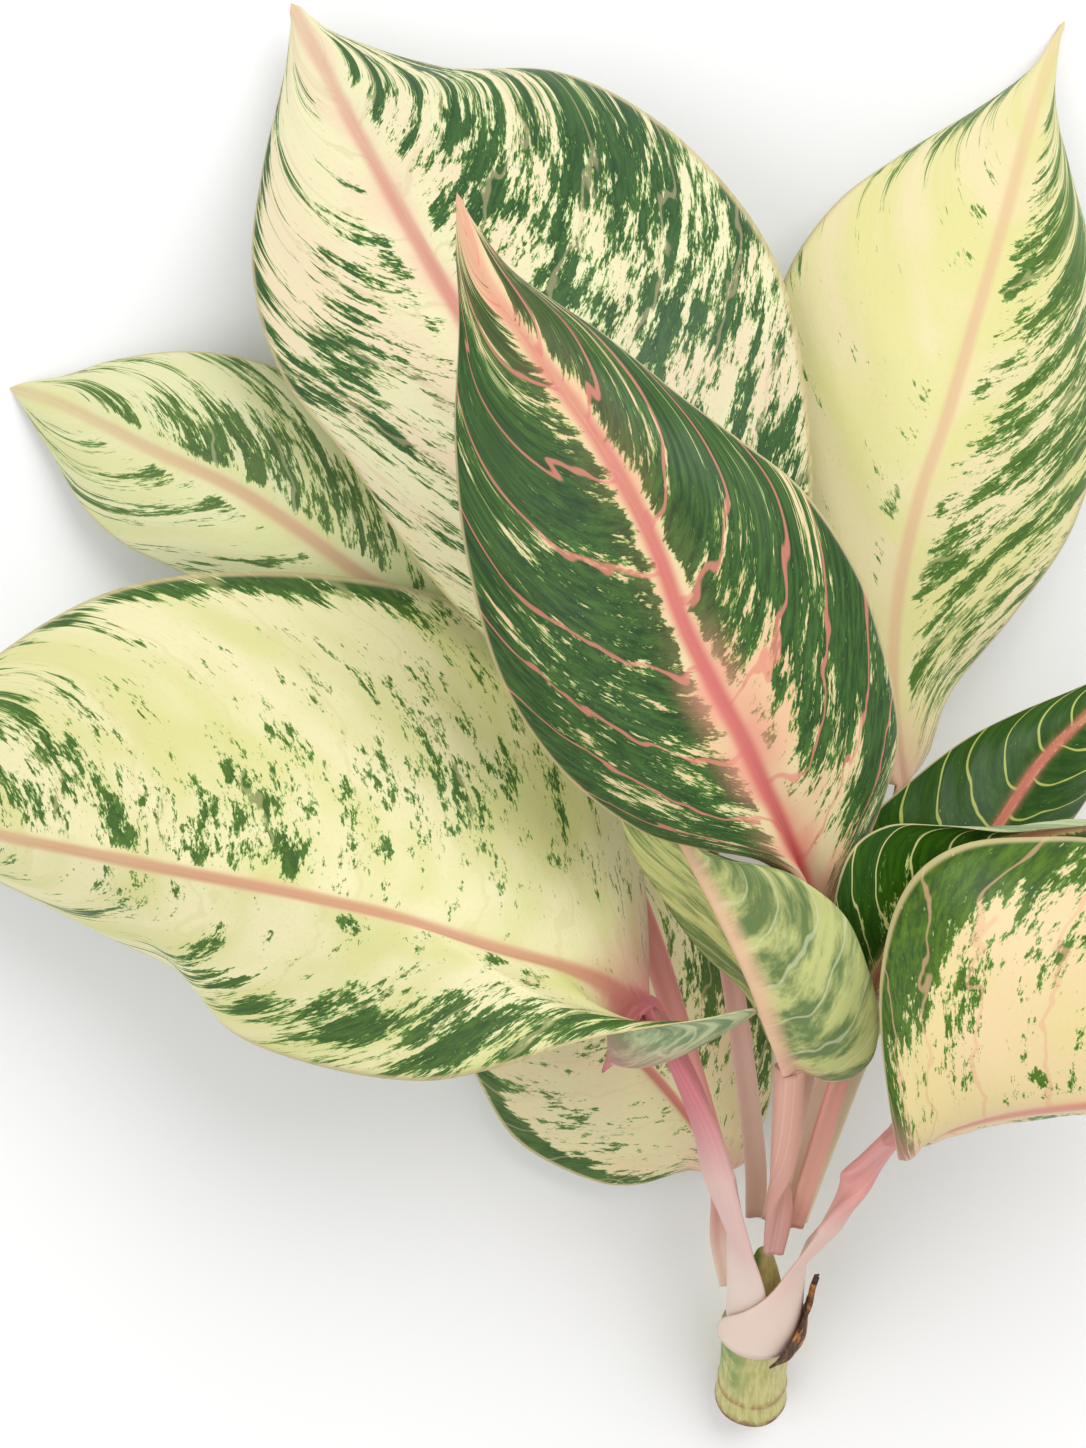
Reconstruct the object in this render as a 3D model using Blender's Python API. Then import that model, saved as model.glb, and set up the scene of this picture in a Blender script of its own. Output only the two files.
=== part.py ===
"""A cut shoot of chinese evergreen, lying as it was picked.

The shoot rests on a flat surface on the cut end of its cane and on the tips of
its hindmost leaves. Each leaf is one piece that grew whole: a blade, the stalk
below it and, on the two outer leaves, the sheath that clasps the cane.

A leaf is drawn by three lines, its midrib and its two margins, and is lofted
from the foot of its stalk to its tip as one closed body.
"""

import math

import bmesh
import bpy
import numpy as np
from mathutils import Vector

MM = 0.001

# The cane: where the middle of its cut end lies, and which way it points (mm).
CANE_FOOT = np.array([53.0, -172.5, 9.0])
CANE_SLOPE = 40.0
CANE_LENGTH = 60.0
CANE_RADIUS = 8.7

# Thicknesses of the soft pieces (mm).
BLADE_EDGE = 0.8
KEEL_AT_BASE = 3.6
KEEL_AT_TIP = 0.5
KEEL_HALF_WIDTH = 3.2
SHEATH_WALL = 1.1
TIP_HALF_WIDTH = 0.5

# How finely a leaf is cut up: stations along the stalk and the blade, and the
# share of each half's width at which a lengthways line runs.
STALK_STATIONS = 6
BLADE_STATIONS = 15
BLADE_LINES = (0.5, 1.0)

COLOURS = {
    "cane": (0.56, 0.50, 0.25),
    "pale blade": (0.72, 0.70, 0.42),
    "patterned blade": (0.22, 0.34, 0.12),
    "pink stalk": (0.72, 0.36, 0.33),
    "dry scale": (0.20, 0.10, 0.05),
}

# Every leaf: the line of its stalk with the stalk's half width at each point
# (x, y, z, half width), then its midrib and its margins from base to tip.
# Left and right are as seen from the base towards the tip, upper face up.
# A swell is how far the middle of that half stands above a straight line from
# midrib to margin, at even steps from base to tip. All in mm.
LEAVES = {
    "leaf_front": dict(
        colour="patterned blade",
        stalk=[(54, -117, 54, 2.4), (56, -105, 61, 2.6), (60, -80, 73, 2.6), (62, -60, 85, 2.4)],
        rib=[(60, -47, 94), (54, -29, 107), (42, -5, 124), (30, 17, 131), (22, 37, 135),
             (11, 57, 137), (-3, 77, 134), (-13, 93, 128), (-18, 111, 118)],
        left=[(54, -36, 106), (46, -29, 111), (33, -26, 113), (20, -22, 113), (4, -10, 112),
              (-9, 9, 115), (-16, 34, 121), (-18, 58, 126), (-17, 81, 128), (-18, 98, 123)],
        right=[(68, -31, 100), (73, -16, 108), (75, -1, 114), (70, 19, 119), (64, 33, 123),
               (53, 48, 127), (40, 58, 130), (28, 67, 131), (12, 80, 130), (-5, 92, 126), (-13, 102, 122)],
        swell_left=(1, 5, 4, 1, 0), swell_right=(1, 5, 4, 2, 0)),
    "leaf_back": dict(
        colour="patterned blade",
        stalk=[(51, -118, 47, 2.5), (50, -100, 53, 2.6), (44, -60, 64, 2.5), (37, -25, 73, 2.3)],
        rib=[(33, -4, 78), (22, 19, 85), (4, 52, 85), (-17, 90, 74), (-39, 131, 52), (-55, 164, 28),
             (-64, 183, 14)],
        left=[(24, -3, 72), (4, 6, 67), (-16, 23, 66), (-32, 41, 65), (-46, 62, 62), (-62, 83, 57),
              (-69, 108, 50), (-68, 135, 38), (-65, 161, 24), (-64, 175, 17)],
        right=[(45, -3, 73), (54, 10, 71), (60, 31, 69), (62, 53, 67), (61, 75, 64), (57, 101, 60),
               (47, 123, 54), (28, 145, 46), (4, 159, 38), (-25, 162, 30), (-50, 172, 22), (-60, 180, 16)],
        swell_left=(1, 4, 5, 3, 0), swell_right=(1, 4, 6, 4, 0)),
    "leaf_right_back": dict(
        colour="pale blade",
        stalk=[(57, -117, 46, 2.5), (63, -97, 51, 2.6), (75, -60, 57, 2.5), (82, -30, 60, 2.3)],
        rib=[(84, -15, 62), (81, 6, 66), (82, 29, 67), (87, 52, 66), (94, 71, 62), (102, 95, 55),
             (111, 121, 44), (122, 152, 25), (135, 182, 2.8)],
        left=[(76, -11, 58), (65, 6, 55), (58, 29, 55), (55, 53, 54), (54, 77, 52), (57, 104, 46),
              (70, 125, 38), (88, 140, 30), (109, 155, 20), (123, 166, 13), (130, 175, 8)],
        right=[(91, -7, 56), (97, 8, 52), (112, 26, 47), (128, 47, 40), (137, 72, 34), (139, 98, 28),
               (137, 118, 24), (133, 137, 18), (130, 156, 12), (132, 172, 7)],
        swell_left=(1, 4, 5, 3, 0), swell_right=(1, 4, 5, 3, 0)),
    "leaf_left_back": dict(
        colour="pale blade",
        stalk=[(45, -117, 45, 2.5), (39, -95, 48, 2.8), (25, -50, 50, 3.0), (8, -10, 50, 2.6)],
        rib=[(-1, 6, 50), (-21, 21, 50), (-41, 34, 47), (-71, 55, 38), (-97, 68, 28), (-122, 81, 14),
             (-138, 87, 2.8)],
        left=[(-10, 4, 46), (-30, 8, 42), (-52, 18, 38), (-72, 28, 32), (-90, 38, 26), (-105, 45, 20),
              (-117, 55, 15), (-126, 69, 10), (-133, 80, 6)],
        right=[(-3, 17, 46), (-13, 40, 42), (-28, 62, 38), (-47, 79, 33), (-68, 89, 28), (-88, 93, 22),
               (-108, 92, 16), (-123, 89, 10), (-133, 88, 6)],
        swell_left=(1, 3, 4, 2, 0), swell_right=(1, 3, 4, 2, 0)),
    "leaf_left_front": dict(
        colour="pale blade",
        sheath=[(37, -75, 78, 7.0), (45, -68, 76, 7.1), (53, -64, 66, 7.5), (61, -66, 56, 8.0), (69, -70, 44, 8.4)],
        stalk=[(42, -104, 63, 5.6), (38, -90, 69, 5.0), (30, -73, 74, 3.8)],
        rib=[(24, -63, 76), (8, -55, 86), (-12, -49, 92), (-31, -43, 94), (-53, -38, 92), (-76, -34, 86),
             (-101, -30, 76), (-127, -26, 62), (-149, -22, 46), (-168, -19, 32)],
        left=[(35, -70, 84), (48, -61, 95), (34, -63, 99), (17, -66, 101), (4, -70, 99), (-9, -75, 94),
              (-27, -79, 86), (-51, -77, 76), (-72, -71, 67), (-85, -59, 60), (-105, -51, 52), (-131, -39, 42),
              (-147, -31, 36), (-160, -24, 33)],
        right=[(24, -50, 70), (22, -31, 68), (14, -4, 63), (-1, 17, 58), (-22, 30, 55), (-50, 35, 56),
               (-81, 35, 54), (-106, 30, 50), (-131, 17, 45), (-147, 3, 39), (-160, -10, 34)],
        swell_left=(-17, -2, 0, 2, 0), swell_right=(1, 5, 6, 4, 0)),
    "leaf_low_left": dict(
        colour="pale blade",
        stalk=[(46, -139, 28, 2.4), (44, -128, 28, 2.6), (44, -118, 27, 2.4)],
        rib=[(43, -112, 27), (40, -103, 27), (29, -89, 25), (17, -77, 22), (4, -63, 18), (-11, -50, 12),
             (-27, -35, 3.4)],
        left=[(36, -112, 22), (24, -116, 19), (12, -115, 17), (-6, -106, 14), (-16, -92, 12), (-23, -76, 9),
              (-26, -58, 7)],
        right=[(51, -108, 25), (57, -91, 25), (56, -71, 25), (48, -54, 22), (35, -42, 17), (15, -35, 11),
               (-6, -32, 7)],
        swell_left=(1, 2, 3, 2, 0), swell_right=(1, 2, 3, 2, 0)),
    "leaf_right_mid": dict(
        colour="patterned blade",
        stalk=[(60.5, -118, 51, 2.5), (66, -98, 60, 2.8), (75, -72, 66, 2.8), (85, -50, 69, 2.4)],
        rib=[(88, -42, 70), (94, -33, 71), (103, -25, 71), (115, -9, 66), (127, 2, 60), (147, 18, 46)],
        left=[(79, -36, 65), (75, -24, 66), (83, -15, 66), (97, -4, 65), (111, 3, 62), (128, 9, 55),
              (139, 14, 50)],
        right=[(93, -43, 64), (105, -39, 60), (117, -30, 58), (128, -18, 55), (137, -5, 51), (143, 7, 48)],
        swell_left=(0, 2, 2, 1, 0), swell_right=(0, 2, 2, 1, 0)),
    "leaf_right_small": dict(
        colour="patterned blade",
        stalk=[(59, -118, 58, 2.2), (61, -106, 68, 2.4), (66, -82, 82, 2.4), (70, -67, 90, 2.2)],
        rib=[(72, -60, 93), (75, -51, 97), (83, -38, 102), (95, -27, 103), (112, -23, 98), (125, -23, 90),
             (136, -26, 82)],
        left=[(66, -55, 97), (62, -42, 104), (65, -28, 109), (73, -22, 111), (85, -22, 110), (98, -23, 107),
              (110, -22, 101), (123, -22, 92), (130, -24, 87)],
        right=[(76, -62, 88), (83, -58, 86), (93, -51, 84), (105, -44, 82), (116, -37, 80), (128, -32, 79),
               (135, -28, 79)],
        swell_left=(0, 1, -1, -1, 0), swell_right=(0, 2, 2, 1, 0)),
    "leaf_right_front": dict(
        colour="pale blade",
        sheath=[(32, 22, 108, 9.6), (40, 32, 98, 9.5), (48, 44, 74, 9.3), (56, 54, 50, 9.2), (64, 60, 34, 9.8)],
        stalk=[(65, -114, 71, 4.2), (69, -104, 82, 3.8), (74, -95, 92, 3.2)],
        rib=[(77, -90, 98), (86, -87, 106), (99, -83, 112), (115, -81, 113), (131, -80, 110), (151, -80, 100),
             (171, -84, 84), (191, -89, 66)],
        left=[(76, -93, 106), (73, -79, 112), (71, -64, 114), (71, -52, 115), (74, -39, 115), (80, -30, 115),
              (90, -25, 113), (104, -24, 109), (120, -25, 104), (139, -32, 97), (159, -48, 87), (176, -67, 77),
              (185, -79, 70)],
        right=[(79, -94, 90), (92, -88, 78), (107, -85, 70), (126, -83, 66), (143, -83, 63), (163, -84, 60),
               (180, -87, 58), (189, -89, 60)],
        swell_left=(2, 7, 8, 5, 0), swell_right=(1, 3, 4, 2, 0)),
    "leaf_young": dict(
        colour="patterned blade",
        stalk=[(54, -124, 59, 2.4), (54.5, -112, 69, 3.3), (55, -92, 80, 3.6)],
        rib=[(55, -75, 87), (47, -57, 98), (39, -41, 103), (32, -27, 103), (27, -14, 98), (23, -1, 90)],
        left=[(65, -80, 85), (72, -74, 92), (73, -64, 98), (70, -53, 105), (64, -41, 112), (54, -33, 118),
              (47, -30, 116), (40, -29, 113), (34, -27, 107), (27, -17, 97)],
        right=[(50, -70, 84), (45, -61, 84), (36, -51, 84), (27, -38, 84), (19, -27, 84), (16, -15, 84),
               (18, -5, 86)],
        swell_left=(-1, -3, -2, 0, 0), swell_right=(1, 2, 2, 0, 0)),
}

# The dry scale, left from a leaf that fell, clasps the sheath on one side.
DRY_SCALE = [(31, 62, 50, 11.4), (36, 66, 40, 11.4), (42, 74, 24, 11.4), (48, 80, 12, 11.6), (53, 84, 3, 12.0)]


def clear_scene():
    for thing in list(bpy.data.objects):
        bpy.data.objects.remove(thing, do_unlink=True)


def material(name, colour, roughness):
    finish = bpy.data.materials.new(name)
    finish.use_nodes = True
    shader = finish.node_tree.nodes["Principled BSDF"]
    shader.inputs["Base Color"].default_value = (*colour, 1.0)
    shader.inputs["Roughness"].default_value = roughness
    return finish


def unit(vectors):
    vectors = np.asarray(vectors, float)
    return vectors / np.maximum(np.linalg.norm(vectors, axis=-1, keepdims=True), 1e-9)


def smooth_line(points, count):
    """Points spaced evenly by length along a smooth curve through the given ones."""
    given = np.array(points, float)
    given = np.vstack([2 * given[0] - given[1], given, 2 * given[-1] - given[-2]])
    steps = np.linspace(0, 1, 24, endpoint=False)[:, None]
    runs = []
    for before, start, end, after in zip(given[:-3], given[1:-2], given[2:-1], given[3:]):
        runs.append(0.5 * (2 * start + (end - before) * steps
                           + (2 * before - 5 * start + 4 * end - after) * steps ** 2
                           + (3 * start - before - 3 * end + after) * steps ** 3))
    dense = np.vstack(runs + [given[-2:-1]])
    length = np.concatenate([[0], np.cumsum(np.linalg.norm(np.diff(dense, axis=0), axis=1))])
    wanted = np.linspace(0, length[-1], count)
    return np.stack([np.interp(wanted, length, column) for column in dense.T], axis=1)


def cane_frame():
    """The cane's own directions: along it, towards its front and to its right."""
    slope = math.radians(CANE_SLOPE)
    along = np.array([0.0, math.cos(slope), math.sin(slope)])
    front = np.array([0.0, -math.sin(slope), math.cos(slope)])
    return along, front, np.array([1.0, 0.0, 0.0])


def round_the_cane(height, angles, radius):
    """Points at a height on the cane, at angles in degrees from its front."""
    along, front, right = cane_frame()
    turn = np.radians(np.asarray(angles, float))[:, None]
    return CANE_FOOT + height * along + radius * (np.cos(turn) * front + np.sin(turn) * right)


def clasping_ring(height, middle, half_span, radius, shares):
    """A section of a sheath: its inner points and its outer ones, wrapped round the cane."""
    angles = middle - half_span * shares
    edge = 1 - 0.5 * np.abs(shares[:, None]) ** 6
    inner = round_the_cane(height, angles, radius)
    outer = round_the_cane(height, angles, radius + SHEATH_WALL)
    return inner, inner + (outer - inner) * edge


def stalk_rings(leaf, shares, blade_face):
    """Sections of a stalk: a flat upper side and a round lower one."""
    line = smooth_line(leaf["stalk"] + [(*leaf["rib"][0], leaf["stalk"][-1][3])], STALK_STATIONS + 1)[:-1]
    centre = line[:, :3]
    width = line[:, 3:]
    tangent = unit(np.gradient(centre, axis=0))
    along, front, right = cane_frame()
    if "sheath" in leaf:
        turn = math.radians(leaf["sheath"][-1][1])
        first_face = -(math.cos(turn) * front + math.sin(turn) * right)
    else:
        first_face = front
    blend = np.linspace(0, 1, len(line) + 1)[:-1, None] ** 0.8
    face = unit(first_face * (1 - blend) + blade_face * blend)
    face = unit(face - tangent * np.sum(face * tangent, axis=1, keepdims=True))
    side = np.cross(tangent, face)
    rings = []
    for place, half, up, across in zip(centre, width, face, side):
        swing = shares[:, None] * math.pi / 2
        arch = np.cos(swing)
        spread = across * half * np.sin(swing)
        upper = place + spread + up * (0.15 + 0.35 * half * arch)
        lower = place + spread - up * (0.15 + 0.85 * half * arch)
        rings.append((upper, lower))
    return rings


def blade_rings(leaf):
    """Sections of a blade, and the way its upper face looks at the base."""
    count = BLADE_STATIONS + 1
    base, tip = leaf["rib"][0], leaf["rib"][-1]
    rib = smooth_line(leaf["rib"], count)
    left = smooth_line([base] + leaf["left"] + [tip], count)
    right = smooth_line([base] + leaf["right"] + [tip], count)
    tangent = unit(np.gradient(rib, axis=0))
    station = np.linspace(0, 1, count)
    half = []
    for margin, swell, turn in ((left, leaf["swell_left"], -1), (right, leaf["swell_right"], 1)):
        reach = margin - rib
        up = unit(turn * np.cross(reach, tangent))
        rise = np.interp(station, np.linspace(0, 1, len(swell)), swell)[:, None]
        half.append((reach, up, rise))
    rings = []
    for index in range(1, count):
        centre = rib[index]
        ridge = unit(half[0][1][index] + half[1][1][index])
        keel = KEEL_AT_BASE + (KEEL_AT_TIP - KEEL_AT_BASE) * station[index] ** 0.6
        upper, lower = [], []
        for side, order in ((0, -1), (1, 1)):
            reach, up, rise = half[side][0][index], half[side][1][index], half[side][2][index]
            wide = np.linalg.norm(reach)
            if index == count - 1:
                wide = TIP_HALF_WIDTH
                across = unit(np.cross(tangent[index], ridge)) * order
                reach, up, rise = across * wide, ridge, 0.0
            first = min(0.3, KEEL_HALF_WIDTH / max(wide, 1.0))
            lines = (first,) + BLADE_LINES
            points = [centre + reach * share + up * rise * 4 * share * (1 - share) for share in lines]
            under = [point - up * BLADE_EDGE for point in points]
            upper.append(points[::order] if order > 0 else points[::-1])
            lower.append(under[::order] if order > 0 else under[::-1])
        upper = upper[0] + [centre] + upper[1]
        lower = lower[0] + [centre - ridge * (BLADE_EDGE + keel)] + lower[1]
        rings.append((np.array(upper), np.array(lower)))
    face = unit(half[0][1][1] + half[1][1][1])
    return rings, face


def closed_loft(name, rings):
    """One closed body through sections that each have an upper and a lower line of points."""
    mesh = bpy.data.meshes.new(name)
    shape = bmesh.new()
    loops = []
    for upper, lower in rings:
        ring = list(upper) + list(lower[::-1])
        loops.append([shape.verts.new(Vector(point) * MM) for point in ring])
    size = len(loops[0])
    for one, two in zip(loops[:-1], loops[1:]):
        for index in range(size):
            after = (index + 1) % size
            shape.faces.new((one[index], two[index], two[after]))
            shape.faces.new((one[index], two[after], one[after]))
    for loop, flip in ((loops[0], False), (loops[-1], True)):
        for index in range(size // 2 - 1):
            corner = (loop[index], loop[index + 1], loop[size - 2 - index], loop[size - 1 - index])
            corner = corner[::-1] if flip else corner
            shape.faces.new((corner[0], corner[1], corner[2]))
            shape.faces.new((corner[0], corner[2], corner[3]))
    bmesh.ops.recalc_face_normals(shape, faces=shape.faces)
    shape.to_mesh(mesh)
    shape.free()
    mesh.shade_smooth()
    mesh.set_sharp_from_angle(angle=math.radians(50))
    thing = bpy.data.objects.new(name, mesh)
    bpy.context.collection.objects.link(thing)
    return thing


def make_leaf(name, leaf):
    blade, face = blade_rings(leaf)
    inner = [0.25, 0.5, 1.0]
    shares = np.array([-share for share in inner[::-1]] + [0.0] + inner)
    rings = [clasping_ring(*row, shares) for row in leaf.get("sheath", [])]
    rings += stalk_rings(leaf, shares, face)
    return closed_loft(name, rings + blade)


def make_dry_scale():
    shares = np.linspace(-1, 1, 7)
    return closed_loft("dry_scale", [clasping_ring(*row, shares) for row in DRY_SCALE])


def make_cane():
    """The cane: a turned shape with ring scars, narrowing where the sheaths begin."""
    profile = [(0, 8.4), (1.5, 9.2), (4, 8.9), (7, 8.6), (8.5, 8.9), (10, 8.6), (20, 8.5), (28, 8.7),
               (30.5, 8.9), (31.5, 8.4), (33.5, 6.2), (45, 5.6), (54, 3.6), (CANE_LENGTH, 2.0)]
    sides = 20
    mesh = bpy.data.meshes.new("cane")
    shape = bmesh.new()
    loops = []
    for height, radius in profile:
        points = round_the_cane(height, np.arange(sides) * 360 / sides, radius)
        loops.append([shape.verts.new(Vector(point) * MM) for point in points])
    for one, two in zip(loops[:-1], loops[1:]):
        for index in range(sides):
            after = (index + 1) % sides
            shape.faces.new((one[index], one[after], two[after], two[index]))
    shape.faces.new(loops[0])
    shape.faces.new(loops[-1])
    bmesh.ops.recalc_face_normals(shape, faces=shape.faces)
    shape.to_mesh(mesh)
    shape.free()
    thing = bpy.data.objects.new("cane", mesh)
    bpy.context.collection.objects.link(thing)
    return thing


def settle(pieces):
    """Lower the shoot onto z = 0 and centre its outline on the origin."""
    corners = np.array([corner.co for piece in pieces for corner in piece.data.vertices])
    low, high = corners.min(axis=0), corners.max(axis=0)
    shift = Vector((-(low[0] + high[0]) / 2, -(low[1] + high[1]) / 2, -low[2]))
    for piece in pieces:
        for corner in piece.data.vertices:
            corner.co += shift


clear_scene()
finishes = {name: material(name, colour, 0.45) for name, colour in COLOURS.items()}
cane = make_cane()
cane.data.materials.append(finishes["cane"])
pieces = [cane]
for name, leaf in LEAVES.items():
    piece = make_leaf(name, leaf)
    piece.data.materials.append(finishes[leaf["colour"]])
    pieces.append(piece)
scale = make_dry_scale()
scale.data.materials.append(finishes["dry scale"])
pieces.append(scale)
settle(pieces)
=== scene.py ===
"""A cut shoot of chinese evergreen, lying on a pale surface, seen from above."""

import math

import bmesh
import bpy
import numpy as np
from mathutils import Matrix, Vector


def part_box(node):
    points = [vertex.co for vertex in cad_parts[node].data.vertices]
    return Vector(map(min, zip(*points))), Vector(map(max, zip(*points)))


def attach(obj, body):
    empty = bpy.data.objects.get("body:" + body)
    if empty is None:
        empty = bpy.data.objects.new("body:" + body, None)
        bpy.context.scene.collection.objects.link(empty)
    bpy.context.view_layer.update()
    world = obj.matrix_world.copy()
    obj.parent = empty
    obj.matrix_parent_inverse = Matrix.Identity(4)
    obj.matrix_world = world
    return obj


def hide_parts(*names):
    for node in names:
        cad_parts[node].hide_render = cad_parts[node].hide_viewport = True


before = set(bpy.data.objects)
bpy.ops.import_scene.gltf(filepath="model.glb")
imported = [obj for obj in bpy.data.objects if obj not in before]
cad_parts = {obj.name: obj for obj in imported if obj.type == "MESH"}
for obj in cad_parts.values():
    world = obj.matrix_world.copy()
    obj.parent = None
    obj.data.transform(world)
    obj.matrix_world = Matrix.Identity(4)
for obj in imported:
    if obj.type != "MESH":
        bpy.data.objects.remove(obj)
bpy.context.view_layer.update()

# ---------------------------------------------------------------------------
# The cane: a bare green-beige stem as thick as a finger, cut square across.
# It is turned from a profile with ring scars where old leaves fell, and it
# narrows where the sheaths of the living leaves begin. Lengths are in mm and
# angles in degrees, here and in every section.
# ---------------------------------------------------------------------------
MM = 0.001
CANE_FOOT = np.array([53.0, -172.5, 9.0])
CANE_SLOPE = 40.0
CANE_LENGTH = 60.0
CANE_PROFILE = [(0, 8.4), (0.6, 8.9), (1.5, 9.2), (2.6, 9.15), (4, 8.9), (7, 8.6), (8.1, 8.75), (8.7, 8.95),
                (9.3, 8.7), (12, 8.5), (20, 8.45), (27, 8.6), (29.6, 8.75), (30.5, 8.95), (31.1, 8.8),
                (31.5, 8.4), (33.5, 6.2), (45, 5.6), (54, 3.6), (CANE_LENGTH, 2.0)]
CANE_SIDES = 96
RING_GAP = 1.2
CUT_SHARES = (0.0, 0.5, 0.8, 0.97)
CUT_HOLLOW = 0.3
SCAR_HEIGHTS = (8.7, 30.6)
SCAR_WIDTH = 0.9


def paint(red, green, blue):
    """A colour as seen on screen, 0 to 255, as Blender's linear one."""
    shares = [channel / 255 for channel in (red, green, blue)]
    return tuple(v / 12.92 if v <= 0.04045 else ((v + 0.055) / 1.055) ** 2.4 for v in shares) + (1.0,)


def unit(vectors):
    vectors = np.asarray(vectors, float)
    return vectors / np.maximum(np.linalg.norm(vectors, axis=-1, keepdims=True), 1e-9)


def round_the_cane(height, angles, radius):
    """Points at a height along the cane, at angles from its front and a radius from its axis."""
    slope = math.radians(CANE_SLOPE)
    along = np.array([0.0, math.cos(slope), math.sin(slope)])
    front = np.array([0.0, -math.sin(slope), math.cos(slope)])
    right = np.array([1.0, 0.0, 0.0])
    turn = np.radians(np.asarray(angles, float))[:, None]
    radius = np.broadcast_to(np.asarray(radius, float), turn[:, 0].shape)[:, None]
    return CANE_FOOT + height * along + radius * (np.cos(turn) * front + np.sin(turn) * right)


def place_on_frame():
    """The shift (mm) that brings these lengths to where the model's cane lies."""
    low, high = (np.array(corner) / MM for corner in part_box("cane"))
    drawn = np.vstack([round_the_cane(height, np.arange(20) * 18, radius) for height, radius in CANE_PROFILE])
    return (low + high) / 2 - (drawn.min(axis=0) + drawn.max(axis=0)) / 2


SHIFT = place_on_frame()


def body_from(name, corners, faces, values):
    """A mesh object in its place, with a value or a vector at every corner."""
    mesh = bpy.data.meshes.new(name)
    mesh.from_pydata([Vector(corner) * MM for corner in np.asarray(corners) + SHIFT], [], faces)
    for label, numbers in values.items():
        numbers = np.asarray(numbers, float)
        kind = "FLOAT" if numbers.ndim == 1 else "FLOAT_VECTOR"
        layer = mesh.attributes.new(label, kind, "POINT")
        layer.data.foreach_set("value" if numbers.ndim == 1 else "vector", numbers.ravel())
    shape = bmesh.new()
    shape.from_mesh(mesh)
    bmesh.ops.recalc_face_normals(shape, faces=shape.faces)
    shape.to_mesh(mesh)
    shape.free()
    mesh.shade_smooth()
    thing = bpy.data.objects.new(name, mesh)
    bpy.context.collection.objects.link(thing)
    return thing


class Finish:
    """A material whose nodes are added one short line at a time."""

    def __init__(self, name):
        self.material = bpy.data.materials.new(name)
        self.material.use_nodes = True
        self.tree = self.material.node_tree
        self.shader = self.tree.nodes["Principled BSDF"]
        self.shader.inputs["Specular IOR Level"].default_value = 0.3

    def node(self, kind, inputs, output=0, **settings):
        node = self.tree.nodes.new(kind)
        for label, value in settings.items():
            setattr(node, label, value)
        for socket, value in inputs.items():
            self.feed(node.inputs[socket], value)
        return node.outputs[output]

    def feed(self, socket, value):
        if isinstance(value, bpy.types.NodeSocket):
            self.tree.links.new(value, socket)
        else:
            socket.default_value = value

    def read(self, label):
        return self.node("ShaderNodeAttribute", {}, "Fac", attribute_name=label)

    def read_vector(self, label):
        return self.node("ShaderNodeAttribute", {}, "Vector", attribute_name=label)

    def maths(self, kind, one, two=0.0, three=0.0):
        return self.node("ShaderNodeMath", {0: one, 1: two, 2: three}, operation=kind)

    def step(self, value, low, high):
        """0 below low, 1 above high, smooth between."""
        return self.ramp(value, low, high, 0.0, 1.0, "SMOOTHSTEP")

    def ramp(self, value, low, high, first, last, kind="LINEAR"):
        """first below low, last above high, and a ramp between."""
        return self.node("ShaderNodeMapRange", {0: value, 1: low, 2: high, 3: first, 4: last},
                         interpolation_type=kind)

    def grain(self, place, scale, detail=3.0, rough=0.55, stretch=(1, 1, 1), away=(0, 0, 0)):
        spot = self.node("ShaderNodeMapping", {"Vector": place, "Scale": stretch, "Location": away})
        return self.node("ShaderNodeTexNoise", {"Vector": spot, "Scale": scale, "Detail": detail,
                                                "Roughness": rough}, "Fac")

    def blend(self, share, one, two):
        return self.node("ShaderNodeMix", {0: share, 6: one, 7: two}, 2, data_type="RGBA")

    def show(self, colour, roughness, height, depth, distance):
        self.feed(self.shader.inputs["Base Color"], colour)
        self.feed(self.shader.inputs["Roughness"], roughness)
        bump = self.node("ShaderNodeBump", {"Height": height, "Strength": depth, "Distance": distance})
        self.feed(self.shader.inputs["Normal"], bump)
        return self.material


def cane_finish():
    finish = Finish("cane_bark")
    height = finish.read("height")
    place = finish.read_vector("wrap")
    streaks = finish.grain(place, 0.9, 4.0, 0.6, (1.0, 0.18, 1.0))
    blotches = finish.grain(place, 0.16, 3.0, 0.55)
    pores = finish.grain(place, 2.6, 2.0, 0.5, (1.0, 0.5, 1.0))
    colour = finish.blend(finish.step(streaks, 0.35, 0.7), paint(214, 205, 140), paint(180, 178, 105))
    left = finish.maths("MULTIPLY", finish.step(finish.read("side"), 0.15, 0.85), finish.step(height, 9, 17))
    green = finish.maths("MULTIPLY", left, finish.step(blotches, 0.3, 0.6))
    colour = finish.blend(green, colour, paint(112, 150, 78))
    scar = finish.maths("MULTIPLY", finish.read("scar"), finish.step(streaks, 0.2, 0.6))
    colour = finish.blend(scar, colour, paint(168, 132, 84))
    rim = finish.maths("ADD", height, finish.maths("MULTIPLY", finish.grain(place, 0.35, 4.0, 0.7), 5.0))
    rim = finish.maths("SUBTRACT", 1.0, finish.step(rim, 3.6, 6.2))
    colour = finish.blend(rim, colour, paint(126, 76, 50))
    face = finish.read("cut")
    bundles = finish.step(finish.grain(place, 3.0, 2.0, 0.5), 0.56, 0.64)
    flesh = finish.blend(bundles, paint(190, 158, 105), paint(120, 84, 55))
    colour = finish.blend(face, colour, flesh)
    relief = finish.maths("ADD", streaks, finish.maths("MULTIPLY", pores, 0.4))
    return finish.show(colour, 0.5, relief, 0.35, 0.0006)


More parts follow.
